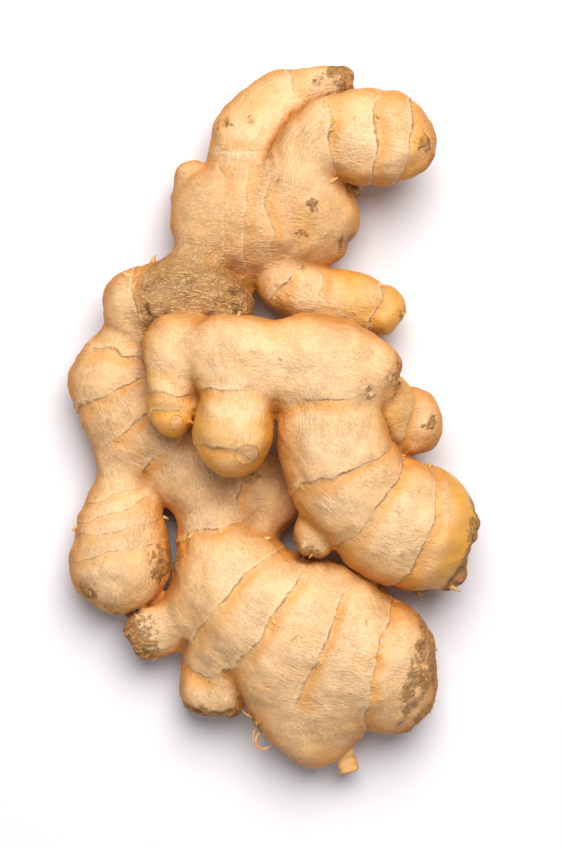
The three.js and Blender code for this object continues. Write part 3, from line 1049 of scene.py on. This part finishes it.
def geometry_tree(name, sizes):
    """A geometry tree with a mesh in, named sizes and a material, and a mesh out."""
    tree = bpy.data.node_groups.new(name, "GeometryNodeTree")
    face = tree.interface
    face.new_socket("Geometry", in_out="INPUT", socket_type="NodeSocketGeometry")
    for label, kind in sizes:
        face.new_socket(label, in_out="INPUT", socket_type=kind)
    face.new_socket("Material", in_out="INPUT", socket_type="NodeSocketMaterial")
    face.new_socket("Geometry", in_out="OUTPUT", socket_type="NodeSocketGeometry")
    kit = Kit(tree)
    source = tree.nodes.new("NodeGroupInput")
    given = {socket.name: Value(kit, socket) for socket in source.outputs if socket.name}
    return tree, kit, given


def close_tree(kit, given, geometry):
    """Realize Instances, Set Material, and out."""
    real = kit.node("GeometryNodeRealizeInstances", {0: geometry})
    dressed = kit.node("GeometryNodeSetMaterial", {"Geometry": real, "Material": given["Material"]})
    out = kit.tree.nodes.new("NodeGroupOutput")
    kit.tree.links.new(dressed.socket, out.inputs[0])


def named(kit, name, kind="FLOAT"):
    """What the skin's mesh carries under a name."""
    return kit.node("GeometryNodeInputNamedAttribute", {"Name": name}, data_type=kind)


def combined(kit, x=0.0, y=0.0, z=0.0):
    """A vector from three values."""
    return kit.node("ShaderNodeCombineXYZ", {0: x, 1: y, 2: z})


def scatter(kit, given, chance, shape, tilt):
    """Copies of a shape standing on the surface, with its X along the finger."""
    spots = kit.node("GeometryNodeDistributePointsOnFaces",
                     {"Mesh": given["Geometry"], "Density": chance, "Seed": given["Seed"]})
    maker = spots.socket.node
    turned = Value(kit, maker.outputs["Rotation"])
    laid = kit.node("FunctionNodeAlignRotationToVector",
                    {"Rotation": turned, "Vector": named(kit, "lay", "FLOAT_VECTOR")},
                    axis="X", pivot_axis="Z")
    low, high = tilt
    random = kit.node("FunctionNodeRandomValue", {0: low, 1: high, "Seed": given["Seed"]},
                      data_type="FLOAT_VECTOR")
    spun = kit.node("FunctionNodeRotateRotation",
                    {"Rotation": laid, "Rotate By": kit.node("FunctionNodeEulerToRotation", {0: random})},
                    rotation_space="LOCAL")
    scale = kit.node("FunctionNodeRandomValue", {2: 0.45, 3: 1.25, "Seed": given["Seed"]}, output=1,
                     data_type="FLOAT")
    return kit.node("GeometryNodeInstanceOnPoints",
                    {"Points": spots, "Instance": shape, "Rotation": spun,
                     "Scale": combined(kit, scale, scale, scale)})


def bent(kit, shape, bend, taper, length):
    """A shape that lies along X, curled up towards its far end and narrowed there."""
    where = kit.node("GeometryNodeInputPosition")
    x = kit.node("ShaderNodeSeparateXYZ", {0: where})
    y, z = (Value(kit, x.socket.node.outputs[i]) for i in (1, 2))
    share = x / length + 0.5
    narrow = 1 - share * taper
    moved = combined(kit, x + length * 0.5, y * narrow, z * narrow + share * share * bend)
    return kit.node("GeometryNodeSetPosition", {"Geometry": shape, "Position": moved})


SCATTER_SIZES = (("Density", "NodeSocketFloat"), ("Length", "NodeSocketFloat"), ("Seed", "NodeSocketInt"))


def flake_tree():
    """Papery scraps standing up along the leaf scars."""
    tree, kit, given = geometry_tree("skin_flakes", SCATTER_SIZES)
    on_ring = (0.5 - named(kit, "ring").size()).above(0.0) * named(kit, "ring_on").above(0.7)
    worn = named(kit, "cork").above(0.55) * 0.12
    whole = kit.stretched(kit.node("GeometryNodeInputPosition"), (1 / MM,) * 3)
    patchy = kit.cloud(whole, 0.12, 2.0).above(0.47)
    length = given["Length"]
    sheet = kit.node("GeometryNodeMeshCube", {"Size": combined(kit, length, length * 0.55, length * 0.045),
                                              "Vertices X": 5, "Vertices Y": 3, "Vertices Z": 2})
    flake = bent(kit, sheet, length * 0.22, 0.7, length)
    close_tree(kit, given, scatter(kit, given, given["Density"] * on_ring.most(worn) * patchy, flake,
                                   ((-0.25, -0.22, -0.9), (0.25, 0.12, 0.9))))
    return tree


def fibre_tree():
    """Short torn fibres on broken ends and old cork."""
    tree, kit, given = geometry_tree("end_fibres", SCATTER_SIZES)
    torn = named(kit, "cork").between(0.55, 0.95)
    length = given["Length"]
    strand = kit.node("GeometryNodeMeshCube", {"Size": combined(kit, length, length * 0.07, length * 0.06),
                                               "Vertices X": 6, "Vertices Y": 2, "Vertices Z": 2})
    fibre = bent(kit, strand, length * 0.4, 0.8, length)
    close_tree(kit, given, scatter(kit, given, given["Density"] * torn, fibre,
                                   ((-0.6, -1.0, -1.6), (0.6, -0.1, 1.6))))
    return tree


def rootlet_tree():
    """Round threads along loose edges, as thick as each point says."""
    tree, kit, given = geometry_tree("rootlets", [("Sides", "NodeSocketInt")])
    path = kit.node("GeometryNodeMeshToCurve", {"Mesh": given["Geometry"]})
    ring = kit.node("GeometryNodeCurvePrimitiveCircle", {"Resolution": given["Sides"], "Radius": 1.0})
    tube = kit.node("GeometryNodeCurveToMesh", {"Curve": path, "Profile Curve": ring, "Fill Caps": True,
                                                "Scale": named(kit, "thick")})
    smooth = kit.node("GeometryNodeSetShadeSmooth", {"Geometry": tube, "Shade Smooth": True})
    close_tree(kit, given, smooth)
    return tree


def built(name, mesh, tree, values):
    """A plain mesh made by a tree from a source mesh, with the modifier gone again."""
    maker = bpy.data.objects.new(name + "_maker", mesh)
    bpy.context.scene.collection.objects.link(maker)
    modifier = maker.modifiers.new("grow", "NODES")
    modifier.node_group = tree
    for item in tree.interface.items_tree:
        if item.in_out == "INPUT" and item.name in values:
            modifier[item.identifier] = values[item.name]
    graph = bpy.context.evaluated_depsgraph_get()
    made = bpy.data.meshes.new_from_object(maker.evaluated_get(graph))
    bpy.data.objects.remove(maker)
    if not len(made.polygons):
        raise RuntimeError(f"{name} came out empty")
    made.name = name
    piece = bpy.data.objects.new(name, made)
    bpy.context.scene.collection.objects.link(piece)
    return piece


def rides(piece):
    """Every piece rides on the one body."""
    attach(piece, "root")


# ---------------------------------------------------------------- rootlets and the cut stalk
# Each rootlet: finger, share, turn, length and base thickness in mm, lean forward and curl in
# degrees. A curl turns the thread steadily round, as a dried rootlet does.

ROOTLETS = [
    ("knob", 0.22, -84, 2.0, 1.7, 10, 30),
    ("knob", -0.1, -55, 1.8, 1.8, -60, 40),
    ("left_finger", 0.78, 80, 1.6, 1.4, 20, 20),
    ("left_finger", 0.72, -86, 1.4, 1.2, 0, 30),
    ("big_finger", 1.1, 80, 2.6, 1.6, 60, 15),
    ("big_finger", 0.8, -85, 1.4, 1.0, 0, 0),
    ("bottom_nub", 0.68, 86, 11.0, 0.8, 10, 280),
    ("bottom_nub", 0.64, 84, 6.0, 0.6, 40, 90),
    ("bottom_nub", 0.6, 80, 4.5, 0.5, -10, -60),
    ("middle_body", 0.3, -72, 1.2, 1.5, 0, 20),
    ("upper_body", 0.92, -60, 1.4, 1.3, 30, 20),
    ("small_finger", 0.9, -70, 1.6, 1.7, 0, 20),
    ("base_body", 0.3, -60, 1.4, 1.5, 10, 10),
    ("lower_nub", 1.02, 30, 1.4, 1.6, 70, 10),
]
ROOTLET_STEPS = 14
ROOTLET_BURIED = 1.0
ROOTLET_TAPER = 0.8
ROOTLET_CLEAR = 1.3  # how high a thread's middle stays off the floor, in half widths


def rootlet_mesh(shape, width):
    """The rootlets' middle lines as loose edges, with a thickness on each point."""
    vertices, edges, thick = [], [], []
    for name, share, turn, length, base, lean, curl in ROOTLETS:
        finger = shape.fingers[name]
        i = min(max(int(round(share * (finger.count - 1))), 0), finger.count - 1)
        aim = shape.placed(finger.spot(max(share, 0.0), turn)[None])[0]
        point = shape.points[np.linalg.norm(shape.points - aim, axis=1).argmin()]
        out = point - shape.placed(finger.centre[i][None])[0]
        out = out / np.linalg.norm(out)
        forward = finger.tangent[i]
        point = point - out * ROOTLET_BURIED * MM
        run = (length + ROOTLET_BURIED) * MM / ROOTLET_STEPS
        start = len(vertices)
        for k in range(ROOTLET_STEPS + 1):
            share_out = k / ROOTLET_STEPS
            angle = math.radians(lean + curl * share_out)
            vertices.append(point)
            thick.append(base / 2 * (1 - ROOTLET_TAPER * share_out**1.5) * width * MM)
            if k:
                edges.append((start + k - 1, start + k))
            point = point + (out * math.cos(angle) + forward * math.sin(angle)) * run
    mesh = bpy.data.meshes.new("rootlet_paths")
    mesh.from_pydata(np.array(vertices).tolist(), edges, [])
    for v, r in zip(mesh.vertices, thick):
        v.co.z = max(v.co.z, CAD_LOW[2] + ROOTLET_CLEAR * r)
    put_attribute(mesh, "thick", "FLOAT", "POINT", thick)
    return mesh


STALK_LENGTH = 17.5
STALK_WIDTHS = (9.0, 7.4, 5.6, 4.9, 5.2, 5.0)
STALK_HEADING = -74
STALK_START = ("nub_shoulder", 0.62, 1.0)
STALK_SIDES = 24
STALK_LEVELS = 30
STALK_DIP = -0.22
STALK_FLAT = 0.85
STALK_HOLLOW = 0.5  # how far the middle of the cut end lies back from its rim


def stalk_mesh(shape):
    """The cut shoot by the bottom nub: a squarish stub whose cut end dips in the middle."""
    name, share, drop = STALK_START
    start = shape.fingers[name].at(share) - np.array([0, 0, drop])
    heading = math.radians(STALK_HEADING)
    ahead = np.array([math.cos(heading), math.sin(heading), STALK_DIP])
    ahead /= np.linalg.norm(ahead)
    side = np.cross(ahead, (0, 0, 1))
    side /= np.linalg.norm(side)
    up = np.cross(side, ahead)
    rings = []
    for k in range(STALK_LEVELS + 1):
        share = k / STALK_LEVELS
        r = spline(STALK_WIDTHS, [share])[0, 0] / 2
        collar = 0.10 * math.exp(-(((share - 0.72) / 0.03) ** 2))
        waist = 0.14 * math.exp(-(((share - 0.8) / 0.04) ** 2))
        r *= 1 + collar - waist
        for j in range(STALK_SIDES):
            a = 2 * math.pi * j / STALK_SIDES
            square = 1 / max(abs(math.cos(a)), abs(math.sin(a))) ** 0.55
            rough = 1 + 0.05 * noise.noise(Vector((3 * math.cos(a), 3 * math.sin(a), 9 * share)))
            out = side * math.cos(a) + up * math.sin(a) * STALK_FLAT
            rings.append(start + ahead * STALK_LENGTH * share + out * r * square * rough)
    core = start + ahead * (STALK_LENGTH - STALK_HOLLOW)
    vertices = rings + [start, core]
    faces = []
    for k in range(STALK_LEVELS):
        for j in range(STALK_SIDES):
            a, b = k * STALK_SIDES + j, k * STALK_SIDES + (j + 1) % STALK_SIDES
            faces.append((a, a + STALK_SIDES, b + STALK_SIDES, b))
    last = STALK_LEVELS * STALK_SIDES
    for j in range(STALK_SIDES):
        n = (j + 1) % STALK_SIDES
        faces.append((len(rings), j, n))
        faces.append((len(rings) + 1, last + n, last + j))
    return shape.placed(np.array(vertices)), faces


# ---------------------------------------------------------------- sizes and colours

def colour(name, description, default):
    return FloatVectorProperty(name=name, description=description, subtype="COLOR", size=3, min=0, max=1,
                               default=default)


class GingerShape(bpy.types.PropertyGroup):
    voxel: FloatProperty(name="Skin Step", description="Size of the skin mesh's squares", default=0.76 * MM,
                         min=0.5 * MM, unit="LENGTH", precision=5)
    relief: FloatProperty(name="Relief", description="Strength of lumps, scars and crust", default=1.0,
                          min=0.0, max=2.0, subtype="FACTOR")
    flake_length: FloatProperty(name="Flake Length", description="Length of a papery scrap at a leaf scar",
                                default=1.5 * MM, unit="LENGTH", precision=5)
    flakes: FloatProperty(name="Flakes", description="Scraps on a square metre of leaf scar",
                          default=260000.0, min=0.0)
    fibre_length: FloatProperty(name="Fibre Length", description="Length of a torn fibre on a broken end",
                                default=1.3 * MM, unit="LENGTH", precision=5)
    fibres: FloatProperty(name="Fibres", description="Fibres on a square metre of broken end",
                          default=110000.0, min=0.0)
    rootlet_width: FloatProperty(name="Rootlet Width", description="Thickness of the rootlets", default=1.0,
                                 min=0.2, max=3.0, subtype="FACTOR")
    rootlet_sides: IntProperty(name="Rootlet Sides", description="Sides of a rootlet's thread", default=10,
                               min=4, max=24)


class GingerLook(bpy.types.PropertyGroup):
    pale: colour("Pale Skin", "Skin between the fibres", (0.84, 0.51, 0.215))
    deep: colour("Deep Skin", "Skin along the fibres", (0.72, 0.35, 0.10))
    # Also the colour of the painted highlight on faces that turn up.
    light: colour("Dry Skin", "Bleached skin at leaf scars", (0.93, 0.73, 0.49))
    dusty: colour("Dusty Skin", "Dull patches of the oldest skin", (0.60, 0.34, 0.14))
    warm: colour("Warm Skin", "Thin skin with yellow flesh under it", (0.76, 0.34, 0.06))
    # Painted shade: the deeper orange that flanks, undersides and hollows are turned to.
    side: colour("Moist Skin", "Less dried skin on the flanks and underneath", (0.62, 0.24, 0.03))
    # Painted shade in hollows, creases and wrinkle grooves, and the colour of dark specks.
    shade_and_specks: colour("Shaded Skin", "Skin in folds and specks", (0.33, 0.135, 0.03))
    gold: colour("Young Skin", "Waxy skin of young growth", (0.72, 0.35, 0.035))
    # Also the faint painted shadow under each leaf scar's raised edge.
    line: colour("Scar Line", "The thin line of a leaf scar", (0.36, 0.16, 0.045))
    scar: colour("Disc Scar", "The face of a round scar", (0.70, 0.42, 0.21))
    wood: colour("Woody Skin", "Coarse skin of the oldest part", (0.54, 0.29, 0.095))
    cork_pale: colour("Pale Cork", "Dry crust of a broken end", (0.68, 0.36, 0.11))
    cork_dark: colour("Dark Cork", "Cracks in a broken end", (0.26, 0.105, 0.025))
    pit: colour("Pit", "The floor of a pit", (0.15, 0.06, 0.017))


class GingerStage(bpy.types.PropertyGroup):
    floor: colour("Floor", "Colour of the floor", (0.80, 0.79, 0.83))
    lens: FloatProperty(name="Lens", description="Focal length of the camera", default=150.0, min=20.0,
                        unit="CAMERA")
    view_height: FloatProperty(name="View Height", description="Height of what the camera sees",
                               default=0.2154, min=0.02, unit="LENGTH")
    key: FloatProperty(name="Key Light", description="Power of the window light in watts", default=15.2,
                       min=0.0)
    bounce: FloatProperty(name="Reflector", description="Power of the reflector in watts", default=1.0,
                          min=0.0)
    fill: FloatProperty(name="Fill Light", description="Strength of the surrounding light", default=0.22,
                        min=0.0)


# ---------------------------------------------------------------- pieces

grown = {}


def shape_of(scene):
    """The grown root for the scene's settings, worked out once."""
    settings = scene.ginger_shape
    key = (round(settings.voxel, 7), round(settings.relief, 5))
    if key not in grown:
        grown[key] = Shape(settings)
    return grown[key]


def skin_source(shape, name):
    """The skin's mesh with its marks, as an object."""
    piece = mesh_object(name, shape.points, shape.faces)
    for mark, values in shape.marks.items():
        put_attribute(piece.data, mark, "FLOAT", "POINT", values)
    put_attribute(piece.data, "lay", "FLOAT_VECTOR", "POINT", shape.lay)
    return piece


def scattered(name, context, tree, values):
    """Small shapes that stand on the skin, as one mesh."""
    source = skin_source(shape_of(context.scene), name + "_skin")
    piece = built(name, source.data, tree, values)
    bpy.data.objects.remove(source)
    rides(piece)


class GINGER_OT_root(bpy.types.Operator):
    """Grow the root and dress it in its skin"""

    bl_idname = "ginger.root"
    bl_label = "Root"

    def execute(self, context):
        shape = shape_of(context.scene)
        piece = skin_source(shape, "root_body")
        for name, values in zip(("grain_a", "grain_b"), shape.grain):
            put_attribute(piece.data, name, "FLOAT_VECTOR", "CORNER", values)
        put_attribute(piece.data, "grain_mix", "FLOAT", "CORNER", shape.grain_mix)
        piece.data.materials.append(skin_material(context.scene.ginger_look))
        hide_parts(NODE)
        rides(piece)
        return {"FINISHED"}


class GINGER_OT_flakes(bpy.types.Operator):
    """Raise papery scraps along the leaf scars"""

    bl_idname = "ginger.flakes"
    bl_label = "Flakes"

    def execute(self, context):
        sizes, look = context.scene.ginger_shape, context.scene.ginger_look
        scattered("skin_flakes", context, flake_tree(), {
            "Density": sizes.flakes, "Length": sizes.flake_length, "Seed": 3,
            "Material": husk_material("papery_husk", look.pale, look.warm, 0.6)})
        return {"FINISHED"}


class GINGER_OT_fibres(bpy.types.Operator):
    """Raise torn fibres on the broken ends"""

    bl_idname = "ginger.fibres"
    bl_label = "Fibres"

    def execute(self, context):
        sizes, look = context.scene.ginger_shape, context.scene.ginger_look
        scattered("end_fibres", context, fibre_tree(), {
            "Density": sizes.fibres, "Length": sizes.fibre_length, "Seed": 8,
            "Material": husk_material("torn_fibre", look.cork_pale, look.cork_dark, 0.7)})
        return {"FINISHED"}


class GINGER_OT_rootlets(bpy.types.Operator):
    """Grow the dried rootlets and spikes"""

    bl_idname = "ginger.rootlets"
    bl_label = "Rootlets"

    def execute(self, context):
        sizes, look = context.scene.ginger_shape, context.scene.ginger_look
        paths = rootlet_mesh(shape_of(context.scene), sizes.rootlet_width)
        rides(built("rootlets", paths, rootlet_tree(), {
            "Sides": sizes.rootlet_sides,
            "Material": husk_material("dry_rootlet", look.pale, look.cork_pale, 0.6)}))
        return {"FINISHED"}


class GINGER_OT_stalk(bpy.types.Operator):
    """Make the cut stalk beside the bottom nub"""

    bl_idname = "ginger.stalk"
    bl_label = "Cut Stalk"

    def execute(self, context):
        look = context.scene.ginger_look
        piece = mesh_object("cut_stalk", *stalk_mesh(shape_of(context.scene)))
        piece.data.materials.append(husk_material("stalk_rind", look.pale, look.warm, 0.6))
        rides(piece)
        return {"FINISHED"}


# ---------------------------------------------------------------- stage

FLOOR_HALF = 1.5
CAMERA_AIM = (2.3 * MM, -1.5 * MM, 17 * MM)
FULL_SENSOR = 36.0
SKY_TINT = (0.93, 0.95, 1.0)
WINDOW = dict(place=(0.12, 0.52, 1.0), size=0.95, tint=(1.0, 0.98, 0.95))
REFLECTOR = dict(place=(-0.2, -0.75, 0.6), size=0.8, tint=(1.0, 0.98, 0.96))


def area_light(name, place, size, power, tint):
    """A round lamp that faces the root."""
    data = bpy.data.lights.new(name, "AREA")
    data.shape, data.size, data.energy, data.color = "DISK", size, power, tint
    lamp = bpy.data.objects.new(name, data)
    lamp.location = place
    lamp.rotation_euler = (-Vector(place)).to_track_quat("-Z", "Y").to_euler()
    bpy.context.scene.collection.objects.link(lamp)


class GINGER_OT_stage(bpy.types.Operator):
    """Lay the pale floor, hang the lights and aim the camera down"""

    bl_idname = "ginger.stage"
    bl_label = "Stage"

    def execute(self, context):
        scene, stage = context.scene, context.scene.ginger_stage
        z = CAD_LOW[2]
        corners = [(x * FLOOR_HALF, y * FLOOR_HALF, z) for x, y in ((-1, -1), (1, -1), (1, 1), (-1, 1))]
        floor = mesh_object("floor", corners, [(0, 1, 2, 3)], smooth=False)
        made, _, shader = material("pale_floor")
        shader.inputs["Base Color"].default_value = rgb(stage.floor)
        shader.inputs["Roughness"].default_value = 0.75
        shader.inputs["Specular IOR Level"].default_value = 0.2
        floor.data.materials.append(made)

        world = bpy.data.worlds.new("studio")
        world.use_nodes = True
        sky = world.node_tree.nodes["Background"].inputs
        sky["Color"].default_value = rgb(SKY_TINT)
        sky["Strength"].default_value = stage.fill
        scene.world = world
        area_light("window", power=stage.key, **WINDOW)
        area_light("reflector", power=stage.bounce, **REFLECTOR)

        data = bpy.data.cameras.new("camera")
        data.lens, data.sensor_width = stage.lens, FULL_SENSOR
        camera = bpy.data.objects.new("camera", data)
        middle = (Vector(CAD_LOW) + Vector(CAD_HIGH)) / 2
        aim = Vector((middle.x, middle.y, CAD_LOW[2])) + Vector(CAMERA_AIM)
        camera.location = aim + Vector((0, 0, stage.view_height * stage.lens / FULL_SENSOR))
        scene.collection.objects.link(camera)
        scene.camera = camera
        scene.view_settings.view_transform = "Standard"
        scene.view_settings.look = "Medium High Contrast"
        return {"FINISHED"}


# ---------------------------------------------------------------- add-on

class GINGER_PT_panel(bpy.types.Panel):
    bl_label = "Ginger"
    bl_idname = "GINGER_PT_panel"
    bl_space_type = "VIEW_3D"
    bl_region_type = "UI"
    bl_category = "Ginger"

    def draw(self, context):
        for group in (context.scene.ginger_shape, context.scene.ginger_look, context.scene.ginger_stage):
            box = self.layout.box()
            for name in group.__annotations__:
                box.prop(group, name)
        for operator in STEPS:
            self.layout.operator(operator.bl_idname)


STEPS = (GINGER_OT_root, GINGER_OT_flakes, GINGER_OT_fibres, GINGER_OT_rootlets, GINGER_OT_stalk,
         GINGER_OT_stage)
GROUPS = {"ginger_shape": GingerShape, "ginger_look": GingerLook, "ginger_stage": GingerStage}


def register():
    """Makes the classes known to Blender and hangs the settings on the scene."""
    for made in (*GROUPS.values(), *STEPS, GINGER_PT_panel):
        bpy.utils.register_class(made)
    for name, group in GROUPS.items():
        setattr(bpy.types.Scene, name, PointerProperty(type=group))


def unregister():
    """Takes the settings and the classes away again."""
    for name in GROUPS:
        delattr(bpy.types.Scene, name)
    for made in reversed((*GROUPS.values(), *STEPS, GINGER_PT_panel)):
        bpy.utils.unregister_class(made)


def main():
    """Builds everything in order."""
    register()
    bpy.ops.ginger.root()
    bpy.ops.ginger.flakes()
    bpy.ops.ginger.fibres()
    bpy.ops.ginger.rootlets()
    bpy.ops.ginger.stalk()
    bpy.ops.ginger.stage()


if __name__ == "__main__":
    main()
